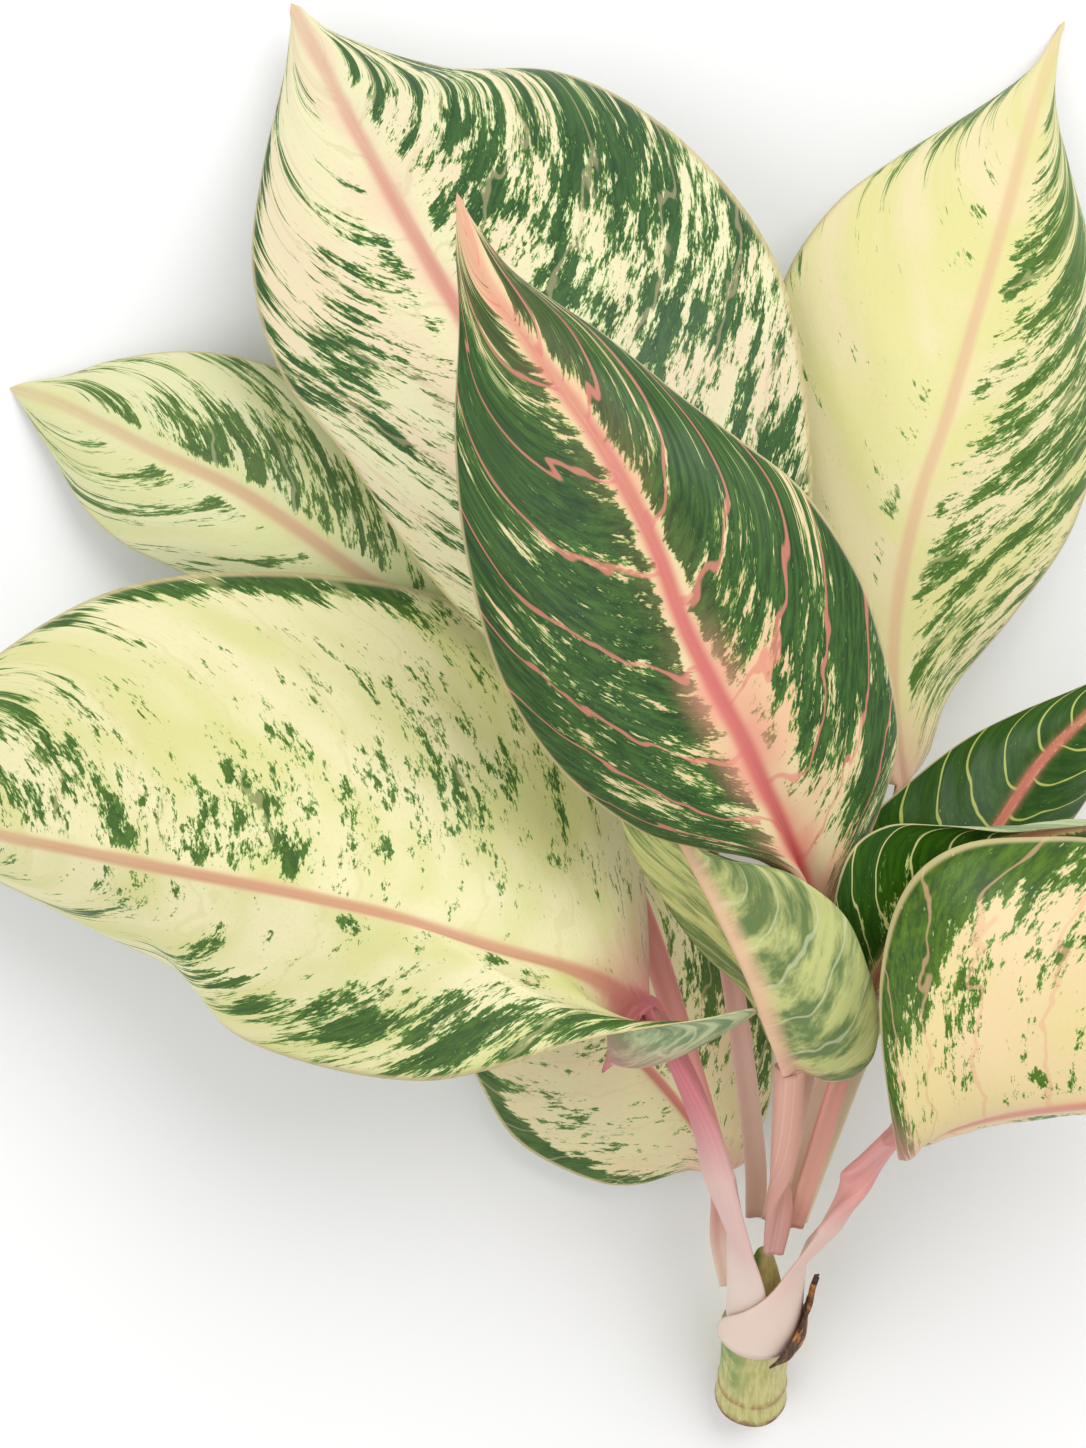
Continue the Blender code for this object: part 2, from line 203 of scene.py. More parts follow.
def turn_cane():
    angles = np.arange(CANE_SIDES) * 360 / CANE_SIDES
    turns = np.radians(angles)
    stations = []
    for (start, wide), (end, slim) in zip(CANE_PROFILE[:-1], CANE_PROFILE[1:]):
        steps = max(1, int((end - start) / RING_GAP))
        for step in range(steps):
            share = step / steps
            stations.append((start + (end - start) * share, wide + (slim - wide) * share))
    stations.append(CANE_PROFILE[-1])
    corners, radii, heights, cuts = [], [], [], []
    for share in CUT_SHARES:
        radius = max(0.05, CANE_PROFILE[0][1] * share)
        corners.append(round_the_cane(-CUT_HOLLOW * (1 - share), angles, radius))
        radii.append(radius)
        heights.append(0.0)
        cuts.append(1.0)
    for height, radius in stations:
        bulge = 1 + 0.012 * np.sin(np.radians(angles * 2 + height * 9))
        bulge = bulge + 0.008 * np.sin(np.radians(angles * 5))
        corners.append(round_the_cane(height, angles, radius * bulge))
        radii.append(radius)
        heights.append(height)
        cuts.append(0.0)
    scars = []
    for height in heights:
        near = min(abs(height - scar) for scar in SCAR_HEIGHTS)
        scars.append(math.exp(-(near / SCAR_WIDTH) ** 2))
    wraps = []
    for radius, height in zip(radii, heights):
        wraps += [(radius * math.cos(turn), height, radius * math.sin(turn)) for turn in turns]
    values = {"wrap": wraps, "height": np.repeat(heights, CANE_SIDES), "scar": np.repeat(scars, CANE_SIDES),
              "cut": np.repeat(cuts, CANE_SIDES), "side": np.tile(-np.sin(turns), len(corners))}
    faces = []
    for ring in range(len(corners) - 1):
        low, high = ring * CANE_SIDES, (ring + 1) * CANE_SIDES
        for side in range(CANE_SIDES):
            after = (side + 1) % CANE_SIDES
            faces.append((low + side, low + after, high + after, high + side))
    last = (len(corners) - 1) * CANE_SIDES
    faces.append(tuple(range(CANE_SIDES)))
    faces.append(tuple(range(last, last + CANE_SIDES)))
    return body_from("cane_stem", np.vstack(corners), faces, values)


cane = turn_cane()
cane.data.materials.append(cane_finish())
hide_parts("cane")
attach(cane, "root")

# ---------------------------------------------------------------------------
# The dry scale: a brown, papery remnant of a fallen leaf's sheath, pointed at
# its top, that clasps the living sheaths on the right of the cane. Its rows are
# height on the cane, middle angle, half the angle it spans, and radius.
# ---------------------------------------------------------------------------
SCALE_ROWS = [(30.6, 62, 52, 11.2), (33, 64, 47, 11.5), (36, 66, 40, 11.5), (39, 70, 32, 11.3),
              (42, 74, 24, 11.5), (45, 77, 18, 11.5), (48, 80, 12, 11.7), (51, 83, 6, 12.0),
              (53, 84, 2, 12.2)]
SCALE_WALL = 0.7
SCALE_LIP = 0.7


def smooth_line(points, count):
    """Points spaced evenly by length along a smooth curve through the given ones."""
    given = np.array(points, float)
    given = np.vstack([2 * given[0] - given[1], given, 2 * given[-1] - given[-2]])
    steps = np.linspace(0, 1, 24, endpoint=False)[:, None]
    runs = []
    for before, start, end, after in zip(given[:-3], given[1:-2], given[2:-1], given[3:]):
        runs.append(0.5 * (2 * start + (end - before) * steps
                           + (2 * before - 5 * start + 4 * end - after) * steps ** 2
                           + (3 * start - before - 3 * end + after) * steps ** 3))
    dense = np.vstack(runs + [given[-2:-1]])
    length = np.concatenate([[0], np.cumsum(np.linalg.norm(np.diff(dense, axis=0), axis=1))])
    wanted = np.linspace(0, length[-1], count)
    return np.stack([np.interp(wanted, length, column) for column in dense.T], axis=1)


def loft_faces(sections, size):
    """Faces of a closed loft whose sections are an upper line and, backwards, a lower one."""
    faces = []
    for ring in range(sections - 1):
        for index in range(size):
            after = (index + 1) % size
            low, high = ring * size, (ring + 1) * size
            faces.append((low + index, high + index, high + after, low + after))
    for ring in (0, sections - 1):
        low = ring * size
        for index in range(size // 2 - 1):
            faces.append((low + index, low + index + 1, low + size - 2 - index, low + size - 1 - index))
    return faces


def scale_finish():
    finish = Finish("dry_scale_skin")
    place = finish.read_vector("wrap")
    fibres = finish.grain(place, 1.0, 4.0, 0.6, (1.6, 0.16, 1.0))
    blotches = finish.grain(place, 0.22, 3.0, 0.6)
    colour = finish.blend(finish.step(fibres, 0.35, 0.7), paint(62, 42, 36), paint(120, 84, 60))
    colour = finish.blend(finish.step(blotches, 0.5, 0.62), colour, paint(196, 128, 62))
    return finish.show(colour, 0.7, fibres, 0.6, 0.0006)


def make_scale():
    rows = smooth_line(SCALE_ROWS, 32)
    shares = np.linspace(-1, 1, 41)
    corners, wraps = [], []
    for height, middle, span, radius in rows:
        angles = middle - span * shares
        crumple = 0.25 * np.sin(np.radians(angles * 7 + height * 31)) + 0.2 * np.sin(np.radians(angles * 13))
        skin = radius + crumple * 0.5 + SCALE_LIP * np.abs(shares) ** 5
        inner = round_the_cane(height, angles, skin)
        outer = round_the_cane(height, angles, skin + SCALE_WALL)
        corners += [inner, outer[::-1]]
        blank = np.zeros(len(angles))
        flat = np.stack([np.radians(angles) * radius, blank + height, blank], axis=1)
        wraps += [flat, flat[::-1]]
    faces = loft_faces(len(rows), 2 * len(shares))
    return body_from("dry_scale_skin", np.vstack(corners), faces, {"wrap": np.vstack(wraps)})


scale = make_scale()
scale.data.materials.append(scale_finish())
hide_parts("dry_scale")
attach(scale, "root")

# ---------------------------------------------------------------------------
# The front leaf: the newest grown one, dark green with a wide pink midrib.
# Like every leaf it grew whole: its stalk rises from the cane and becomes the
# midrib, with side veins that sweep forward to a thin, pale margin.
#
# A leaf's measures run from its base to its tip. A stalk row is x, y, z and half
# the width, and a sheath row is as in the dry scale. Left and right are seen on
# the upper face. A swell is how far that half bulges, at five even steps. A patch
# of green is its place along and across, its length and breadth, and its strength.
# ---------------------------------------------------------------------------
BLADE_STATIONS = 150
STALK_STATIONS = 40
HALF_LINES = 26
BLADE_EDGE = 0.7
SHEATH_WALL = 1.1
SHEATH_STATIONS = 24
SIDE_VEINS = 9
VEIN_SWEEP = 0.3
QUILT_HEIGHT = 0.3
GROOVE_DEPTH = 0.5
GROOVE_WIDTH = 1.1
RIB_WIDTH = 2.5
KEEL_WIDTH = 2.6
USUAL = dict(ripple=0.8, channel=0.25, blush_end=1.0, under_pale=(196, 205, 158),
             under_deep=(128, 150, 108), keel_colour=(222, 180, 158))


def clasping_section(height, middle, half_span, radius, shares):
    """A section of a sheath: its inner points and its outer ones, wrapped round the cane."""
    angles = middle - half_span * shares
    edge = 1 - 0.5 * np.abs(shares[:, None]) ** 6
    inner = round_the_cane(height, angles, radius)
    outer = round_the_cane(height, angles, radius + SHEATH_WALL)
    return inner, inner + (outer - inner) * edge


def stalk_sections(leaf, shares, blade_face):
    """Sections of a stalk: a channelled upper side and a round lower one."""
    line = smooth_line(leaf["stalk"] + [(*leaf["rib"][0], leaf["stalk"][-1][3])], STALK_STATIONS + 1)[:-1]
    centre, width = line[:, :3], line[:, 3:]
    tangent = unit(np.gradient(centre, axis=0))
    if "sheath" in leaf:
        axis_point, rim_point = round_the_cane(0, [leaf["sheath"][-1][1]] * 2, [0.0, 1.0])
        first_face = axis_point - rim_point
    else:
        slope = math.radians(CANE_SLOPE)
        first_face = np.array([0.0, -math.sin(slope), math.cos(slope)])
    blend = np.linspace(0, 1, len(line) + 1)[:-1, None] ** 0.8
    face = unit(first_face * (1 - blend) + blade_face * blend)
    face = unit(face - tangent * np.sum(face * tangent, axis=1, keepdims=True))
    side = np.cross(tangent, face)
    swing = shares[:, None] * math.pi / 2
    arch = np.cos(swing)
    channel = leaf["channel"] * np.exp(-(shares[:, None] / 0.35) ** 2)
    sections = []
    for place, half, up, across in zip(centre, width, face, side):
        spread = across * half * np.sin(swing)
        upper = place + spread + up * half * (0.04 + 0.35 * arch - channel)
        lower = place + spread - up * half * (0.04 + 0.85 * arch)
        sections.append((upper, lower))
    return sections


def vein_place(along, part):
    """Where along the midrib the side vein through a place starts."""
    return along - VEIN_SWEEP * part ** 1.6


def relief(leaf, along, share, off):
    """How far the skin stands out: quilting by the side veins, rippled edges, a groove at the rib."""
    part, side = abs(share), math.copysign(1, share)
    half_turn = 0.5 if share < 0 else 0.0
    wave = math.cos(2 * math.pi * (SIDE_VEINS * vein_place(along, part) + half_turn))
    quilt = QUILT_HEIGHT * wave * part * (1 - part ** 4)
    ripple = leaf["ripple"] * part ** 3 * math.sin(11 * along + 2.1 * side + leaf["seed"])
    fade = min(1.0, along * 8) * min(1.0, (1 - along) * 6)
    groove = GROOVE_DEPTH * math.exp(-(off / GROOVE_WIDTH) ** 2) * (1 - along)
    return (quilt + ripple) * fade - groove


def blade_sections(leaf, shares):
    """Sections of a blade, half its width at every place, and which way its base faces."""
    count = BLADE_STATIONS + 1
    base, tip = leaf["rib"][0], leaf["rib"][-1]
    rib = smooth_line(leaf["rib"], count)
    tangent = unit(np.gradient(rib, axis=0))
    station = np.linspace(0, 1, count)
    halves = []
    for side, turn in (("left", -1), ("right", 1)):
        reach = smooth_line([base] + leaf[side] + [tip], count) - rib
        up = unit(turn * np.cross(reach, tangent))
        swell = np.interp(station, np.linspace(0, 1, 5), leaf["swell_" + side])
        halves.append((reach, up, swell))
    sections, wide_at = [], []
    for index in range(1, count):
        along = station[index]
        ridge = unit(halves[0][1][index] + halves[1][1][index])
        keel = 3.6 - 3.1 * along ** 0.6
        upper, lower, wides = [], [], []
        for share in shares:
            reach, up, swell = (values[index] for values in halves[0 if share < 0 else 1])
            wide = max(np.linalg.norm(reach), 0.4)
            if index >= count - 3:
                reach = unit(np.cross(tangent[index], ridge)) * math.copysign(1, share) * wide
            part = abs(share)
            off = part * wide
            at_rib = math.exp(-(off / RIB_WIDTH) ** 2)
            bend = up * (1 - at_rib) + ridge * at_rib
            bulge = up * swell * 4 * part * (1 - part)
            point = rib[index] + reach * part + bulge + bend * relief(leaf, along, share, off)
            depth = BLADE_EDGE * (1 - 0.5 * part ** 8) + keel * math.exp(-(off / KEEL_WIDTH) ** 2)
            upper.append(point)
            lower.append(point - bend * depth)
            wides.append(wide)
        sections.append((np.array(upper), np.array(lower)))
        wide_at.append(wides)
    face = unit(halves[0][1][1] + halves[1][1][1])
    return sections, np.array(wide_at), face


def spots(along, across, patches, ground):
    """How much dark green there is at each place on a blade, from the given patches."""
    amount = np.full(along.shape, ground, float)
    for centre_along, centre_across, long, broad, strength in patches:
        away = ((along - centre_along) / long) ** 2 + ((across - centre_across) / broad) ** 2
        amount += strength * np.exp(-away)
    return amount


def grow_leaf(node, own):
    """One leaf, from the foot of its stalk to its tip, with what its finish needs."""
    leaf = USUAL | own
    even = np.linspace(0, 1, HALF_LINES + 1)[1:]
    half = 0.35 * even ** 2 + 0.65 * even
    shares = np.concatenate([-half[::-1], [0.0], half])
    blade, wide, face = blade_sections(leaf, shares)
    sheath_rows = smooth_line(leaf["sheath"], SHEATH_STATIONS) if "sheath" in leaf else []
    stalk = [clasping_section(*row, shares) for row in sheath_rows]
    stalk += stalk_sections(leaf, shares, face)
    sections = stalk + blade
    corners = np.vstack([np.vstack([upper, lower[::-1]]) for upper, lower in sections])
    count, lines = len(sections), len(shares)

    along_blade = np.arange(1, BLADE_STATIONS + 1) / BLADE_STATIONS
    along = np.repeat(np.concatenate([np.zeros(len(stalk)), along_blade])[:, None], 2 * lines, axis=1)
    across = np.repeat(np.concatenate([shares, shares[::-1]])[None], count, axis=0)
    under = np.repeat(np.concatenate([np.zeros(lines), np.ones(lines)])[None], count, axis=0)
    climb = np.concatenate([np.linspace(0, 1, len(stalk)), np.ones(len(blade))])
    into = np.concatenate([np.zeros(len(stalk)), np.minimum(1, along_blade * 9)])
    half_width = np.vstack([np.full((len(stalk), lines), 3.0), wide])
    off = np.abs(across) * np.hstack([half_width, half_width[:, ::-1]])
    vein = vein_place(along, np.abs(across))
    length = np.linalg.norm(np.diff(smooth_line(leaf["rib"], 60), axis=0), axis=1).sum()
    side = np.sign(across)
    flow = np.stack([vein * length, side * off, side * 40 + leaf["seed"] * 17], axis=-1)
    values = {
        "along": along.ravel(), "across": across.ravel(), "off": off.ravel(), "under": under.ravel(),
        "climb": np.repeat(climb, 2 * lines), "into": np.repeat(into, 2 * lines),
        "vein": vein.ravel(), "flow": flow.reshape(-1, 3),
        "dark": spots(along, across, leaf["patches"], leaf["ground"]).ravel(),
    }
    thing = body_from(node + "_blade", corners, loft_faces(count, 2 * lines), values)
    thing.data.materials.append(leaf_finish(node + "_blade_skin", leaf))
    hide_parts(node)
    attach(thing, "root")


def leaf_finish(name, leaf):
    """The upper skin, the underside and the stalk, laid over one another, with one soft relief."""
    finish = Finish(name)
    flow, across = finish.read_vector("flow"), finish.read("across")
    broad = finish.grain(flow, 0.13, 6.0, 0.68, (1.0, 0.45, 1.0))
    flecks = finish.grain(flow, 1.5, 3.0, 0.65, (1.0, 0.5, 1.0), (5, 61, 9))
    wander = finish.grain(flow, 0.08, 2.0)
    offset = finish.maths("MULTIPLY_ADD", finish.maths("LESS_THAN", across, 0.0), 0.5, wander)
    turn = finish.maths("MULTIPLY_ADD", finish.read("vein"), SIDE_VEINS, offset)
    wave = finish.maths("COSINE", finish.maths("MULTIPLY", turn, 2 * math.pi))
    vein = finish.step(wave, -0.955, -0.995)
    under = finish.read("under")
    colour = upper_skin(finish, leaf, flow, broad, flecks, vein)
    colour = finish.blend(under, colour, under_skin(finish, leaf, broad, vein))
    colour = finish.blend(finish.read("into"), stalk_skin(finish, leaf, flow), colour)
    gloss = finish.ramp(under, 0.0, 1.0, 0.42, 0.6)
    bumps = finish.maths("MULTIPLY", flecks, 0.35)
    bumps = finish.maths("MULTIPLY_ADD", broad, 0.6, bumps)
    return finish.show(colour, gloss, bumps, 0.12, 0.0008)


def upper_skin(finish, leaf, flow, broad, flecks, vein):
    """Cream blotched with dark green along the veins, a pink midrib in a blush, and a pale edge."""
    off, along = finish.read("off"), finish.read("along")
    streaky = finish.grain(flow, 0.5, 5.0, 0.7, (1.0, 0.4, 1.0), (31, 7, 3))
    soft = finish.grain(flow, 0.05, 2.0, 0.5, (1.0, 0.8, 1.0), (17, 3, 1))
    field = finish.read("dark")
    for noise, weight in ((broad, 1.5), (streaky, 1.1), (flecks, 0.5)):
        field = finish.maths("MULTIPLY_ADD", finish.maths("SUBTRACT", noise, 0.5), weight, field)
    field = finish.maths("SUBTRACT", field, finish.ramp(off, 1.0, leaf["clear"], 0.45, 0.0))
    dark = finish.step(field, 0.02, 0.07)
    fringe = finish.step(field, -0.05, 0.02)
    pale = finish.blend(finish.step(soft, 0.35, 0.65), paint(*leaf["pale"]), paint(*leaf["pale_two"]))
    lime = finish.maths("MULTIPLY", finish.step(flecks, 0.52, 0.7), 0.35)
    pale = finish.blend(lime, pale, paint(205, 214, 140))
    deep = finish.blend(finish.step(streaky, 0.35, 0.7), paint(*leaf["deep"]), paint(*leaf["deep_two"]))
    deep = finish.blend(finish.step(flecks, 0.66, 0.74), deep, paint(150, 178, 92))
    colour = finish.blend(fringe, pale, paint(118, 156, 70))
    colour = finish.blend(dark, colour, deep)
    tint = finish.maths("MULTIPLY", vein, leaf["vein_share"])
    colour = finish.blend(tint, colour, paint(*leaf["vein_colour"]))
    halo = finish.ramp(off, 0.5, leaf["halo"], leaf["blush"], 0.0, "SMOOTHSTEP")
    halo = finish.maths("MULTIPLY", halo, finish.ramp(along, 0.35, leaf["blush_end"], 1.0, 0.15))
    halo = finish.maths("MULTIPLY", halo, finish.step(soft, 0.2, 0.7))
    colour = finish.blend(halo, colour, paint(*leaf["halo_colour"]))
    rib = finish.ramp(off, 0.55, leaf["rib_reach"], 0.9, 0.0, "SMOOTHSTEP")
    rib = finish.maths("MULTIPLY", rib, finish.ramp(along, 0.5, 1.0, 1.0, 0.35))
    colour = finish.blend(rib, colour, paint(*leaf["rib_colour"]))
    edge = finish.step(finish.maths("ABSOLUTE", finish.read("across")), 0.972, 0.99)
    return finish.blend(finish.maths("MULTIPLY", edge, 0.8), colour, paint(222, 205, 150))


def under_skin(finish, leaf, broad, vein):
    """An ashen green with pale veins and a pink keel."""
    pale, deep = paint(*leaf["under_pale"]), paint(*leaf["under_deep"])
    colour = finish.blend(finish.step(broad, 0.4, 0.6), pale, deep)
    colour = finish.blend(finish.maths("MULTIPLY", vein, 0.5), colour, paint(224, 228, 186))
    keel = finish.ramp(finish.read("off"), 1.2, 4.5, 0.9, 0.0)
    return finish.blend(keel, colour, paint(*leaf["keel_colour"]))


def stalk_skin(finish, leaf, flow):
    """Pale at the foot, pinker higher up, with faint lighter stains."""
    foot, top = paint(*leaf["foot_colour"]), paint(*leaf["stalk_colour"])
    colour = finish.blend(finish.step(finish.read("climb"), 0.15, 0.75), foot, top)
    stains = finish.step(finish.grain(flow, 0.5, 3.0, 0.6), 0.45, 0.75)
    return finish.blend(finish.maths("MULTIPLY", stains, 0.25), colour, paint(240, 222, 205))


leaf_front = dict(
    seed=1, slot="patterned_blade", ground=0.14, pale=(238, 222, 172), pale_two=(240, 196, 156),
    deep=(34, 66, 30), deep_two=(72, 112, 46), vein_colour=(226, 140, 122), vein_share=0.7, halo=10,
    blush=0.85, blush_end=0.45, halo_colour=(236, 156, 138), rib_colour=(214, 112, 108), rib_reach=2.6,
    foot_colour=(236, 208, 188), stalk_colour=(222, 170, 150), clear=4.0, ripple=0.6,
    patches=[(0.02, 0.1, 0.2, 0.55, -0.42), (0.3, 0.2, 0.14, 0.25, -0.18), (0.2, -0.97, 0.5, 0.1, 0.3),
             (0.75, 0.0, 0.3, 0.8, 0.1), (0.2, 0.8, 0.25, 0.2, 0.12)],
    stalk=[(54, -117, 54, 2.4), (56, -105, 61, 2.6), (60, -80, 73, 2.6), (62, -60, 85, 2.4)],
    rib=[(60, -47, 94), (54, -29, 107), (42, -5, 124), (30, 17, 131), (22, 37, 135),
         (11, 57, 137), (-3, 77, 134), (-13, 93, 128), (-18, 111, 118)],
    left=[(54, -36, 106), (46, -29, 111), (33, -26, 113), (20, -22, 113), (4, -10, 112),
          (-9, 9, 115), (-16, 34, 121), (-18, 58, 126), (-17, 81, 128), (-18, 98, 123)],
    right=[(68, -31, 100), (73, -16, 108), (75, -1, 114), (70, 19, 119), (64, 33, 123),
           (53, 48, 127), (40, 58, 130), (28, 67, 131), (12, 80, 130), (-5, 92, 126), (-13, 102, 122)],
    swell_left=(1, 5, 4, 1, 0), swell_right=(1, 5, 4, 2, 0),
)
grow_leaf("leaf_front", leaf_front)

# ---------------------------------------------------------------------------
# The back leaf: a broad cream blade, heavily blotched with green on its right
# half, that arches away behind the front leaf and down to the surface.
# ---------------------------------------------------------------------------
leaf_back = dict(
    seed=2, slot="patterned_blade", ground=-0.06, pale=(238, 234, 190), pale_two=(240, 222, 186),
    deep=(36, 72, 38), deep_two=(66, 106, 52), vein_colour=(214, 196, 156), vein_share=0.35, halo=5,
    blush=0.75, blush_end=1.0, halo_colour=(232, 172, 150), rib_colour=(212, 140, 124), rib_reach=2.6,
    foot_colour=(236, 208, 188), stalk_colour=(226, 160, 150), clear=6.0,
    patches=[(0.7, 0.5, 0.3, 0.45, 0.09), (0.45, 0.75, 0.3, 0.35, 0.08), (0.65, -0.5, 0.35, 0.45, -0.16),
             (0.5, -0.65, 0.1, 0.25, 0.25), (0.6, -0.35, 0.1, 0.2, 0.16), (0.75, -0.97, 0.2, 0.08, 0.25)],
    stalk=[(51, -118, 47, 2.5), (50, -100, 53, 2.6), (44, -60, 64, 2.5), (37, -25, 73, 2.3)],
    rib=[(33, -4, 78), (22, 19, 85), (4, 52, 85), (-17, 90, 74), (-39, 131, 52), (-55, 164, 28),
         (-64, 183, 14)],
    left=[(24, -3, 72), (4, 6, 67), (-16, 23, 66), (-32, 41, 65), (-46, 62, 62), (-62, 83, 57),
          (-69, 108, 50), (-68, 135, 38), (-65, 161, 24), (-64, 175, 17)],
    right=[(45, -3, 73), (54, 10, 71), (60, 31, 69), (62, 53, 67), (61, 75, 64), (57, 101, 60),
           (47, 123, 54), (28, 145, 46), (4, 159, 38), (-25, 162, 30), (-50, 172, 22), (-60, 180, 16)],
    swell_left=(1, 4, 5, 3, 0), swell_right=(1, 4, 6, 4, 0),
)
grow_leaf("leaf_back", leaf_back)

# ---------------------------------------------------------------------------
# The right back leaf: a pale yellow-green blade with green streaks on its right
# half. Its tip rests on the surface and carries part of the shoot's weight.
# ---------------------------------------------------------------------------
leaf_right_back = dict(
    seed=3, slot="pale_blade", ground=-0.1, pale=(228, 222, 152), pale_two=(238, 224, 176),
    deep=(56, 92, 30), deep_two=(92, 128, 46), vein_colour=(228, 220, 158), vein_share=0.3, halo=4,
    blush=0.5, halo_colour=(232, 205, 150), rib_colour=(226, 192, 146), rib_reach=2.2,
    foot_colour=(236, 208, 188), stalk_colour=(226, 180, 160), clear=5.0,
    patches=[(0.6, 0.5, 0.35, 0.45, 0.2), (0.45, -0.5, 0.4, 0.6, -0.2), (0.85, -0.85, 0.16, 0.25, 0.34),
             (0.25, 0.5, 0.2, 0.5, 0.05)],
    stalk=[(57, -117, 46, 2.5), (63, -97, 51, 2.6), (75, -60, 57, 2.5), (82, -30, 60, 2.3)],
    rib=[(84, -15, 62), (81, 6, 66), (82, 29, 67), (87, 52, 66), (94, 71, 62), (102, 95, 55),
         (111, 121, 44), (122, 152, 25), (135, 182, 2.8)],
    left=[(76, -11, 58), (65, 6, 55), (58, 29, 55), (55, 53, 54), (54, 77, 52), (57, 104, 46),
          (70, 125, 38), (88, 140, 30), (109, 155, 20), (123, 166, 13), (130, 175, 8)],
    right=[(91, -7, 56), (97, 8, 52), (112, 26, 47), (128, 47, 40), (137, 72, 34), (139, 98, 28),
           (137, 118, 24), (133, 137, 18), (130, 156, 12), (132, 172, 7)],
    swell_left=(1, 4, 5, 3, 0), swell_right=(1, 4, 5, 3, 0),
)
grow_leaf("leaf_right_back", leaf_right_back)

# ---------------------------------------------------------------------------
# The left back leaf: a pale blade with soft grey-green patches on a pink stalk.
# Its tip rests on the surface on the left.
# ---------------------------------------------------------------------------
leaf_left_back = dict(
    seed=4, slot="pale_blade", ground=-0.12, pale=(232, 230, 184), pale_two=(226, 226, 164),
    deep=(70, 98, 54), deep_two=(98, 126, 64), vein_colour=(224, 222, 174), vein_share=0.3, halo=4,
    blush=0.45, halo_colour=(228, 190, 150), rib_colour=(216, 178, 140), rib_reach=2.2,
    foot_colour=(230, 160, 150), stalk_colour=(226, 142, 138), clear=4.0,
    patches=[(0.55, 0.3, 0.28, 0.3, 0.2), (0.5, -0.6, 0.4, 0.5, -0.05), (0.75, 0.92, 0.3, 0.1, 0.1)],
    stalk=[(45, -117, 45, 2.5), (39, -95, 48, 2.8), (25, -50, 50, 3.0), (8, -10, 50, 2.6)],
    rib=[(-1, 6, 50), (-21, 21, 50), (-41, 34, 47), (-71, 55, 38), (-97, 68, 28), (-122, 81, 14),
         (-138, 87, 2.8)],
    left=[(-10, 4, 46), (-30, 8, 42), (-52, 18, 38), (-72, 28, 32), (-90, 38, 26), (-105, 45, 20),
          (-117, 55, 15), (-126, 69, 10), (-133, 80, 6)],
    right=[(-3, 17, 46), (-13, 40, 42), (-28, 62, 38), (-47, 79, 33), (-68, 89, 28), (-88, 93, 22),
           (-108, 92, 16), (-123, 89, 10), (-133, 88, 6)],
    swell_left=(1, 3, 4, 2, 0), swell_right=(1, 3, 4, 2, 0),
)
grow_leaf("leaf_left_back", leaf_left_back)

# ---------------------------------------------------------------------------
# The left front leaf: the largest, pale yellow-green with green along its edges.
# Its sheath clasps the cane, and the base of its lower half turns up and over.
# ---------------------------------------------------------------------------
leaf_left_front = dict(
    seed=5, slot="pale_blade", ground=-0.2, pale=(240, 232, 184), pale_two=(222, 220, 150),
    deep=(46, 80, 34), deep_two=(84, 118, 46), vein_colour=(220, 212, 150), vein_share=0.35, halo=4,
    blush=0.6, halo_colour=(230, 190, 146), rib_colour=(208, 150, 118), rib_reach=2.4,
    foot_colour=(240, 218, 206), stalk_colour=(206, 118, 126), clear=2.5, channel=0.4, ripple=1.2,
    patches=[(0.62, 0.2, 0.26, 0.16, 0.2), (0.85, 0.5, 0.1, 0.2, 0.1), (0.58, 0.96, 0.2, 0.06, 0.5),
             (0.38, -0.74, 0.3, 0.2, 0.34), (0.12, -0.95, 0.2, 0.12, 0.3), (0.3, 0.6, 0.12, 0.2, 0.16)],
    sheath=[(37, -75, 78, 7.0), (45, -68, 76, 7.1), (53, -64, 66, 7.5), (61, -66, 56, 8.0),
            (69, -70, 44, 8.4)],
    stalk=[(42, -104, 63, 5.6), (38, -90, 69, 5.0), (30, -73, 74, 3.8)],
    rib=[(24, -63, 76), (8, -55, 86), (-12, -49, 92), (-31, -43, 94), (-53, -38, 92), (-76, -34, 86),
         (-101, -30, 76), (-127, -26, 62), (-149, -22, 46), (-168, -19, 32)],
    left=[(35, -70, 84), (48, -61, 95), (34, -63, 99), (17, -66, 101), (4, -70, 99), (-9, -75, 94),
          (-27, -79, 86), (-51, -77, 76), (-72, -71, 67), (-85, -59, 60), (-105, -51, 52), (-131, -39, 42),
          (-147, -31, 36), (-160, -24, 33)],
    right=[(24, -50, 70), (22, -31, 68), (14, -4, 63), (-1, 17, 58), (-22, 30, 55), (-50, 35, 56),
           (-81, 35, 54), (-106, 30, 50), (-131, 17, 45), (-147, 3, 39), (-160, -10, 34)],
    swell_left=(-17, -2, 0, 2, 0), swell_right=(1, 5, 6, 4, 0),
)
grow_leaf("leaf_left_front", leaf_left_front)

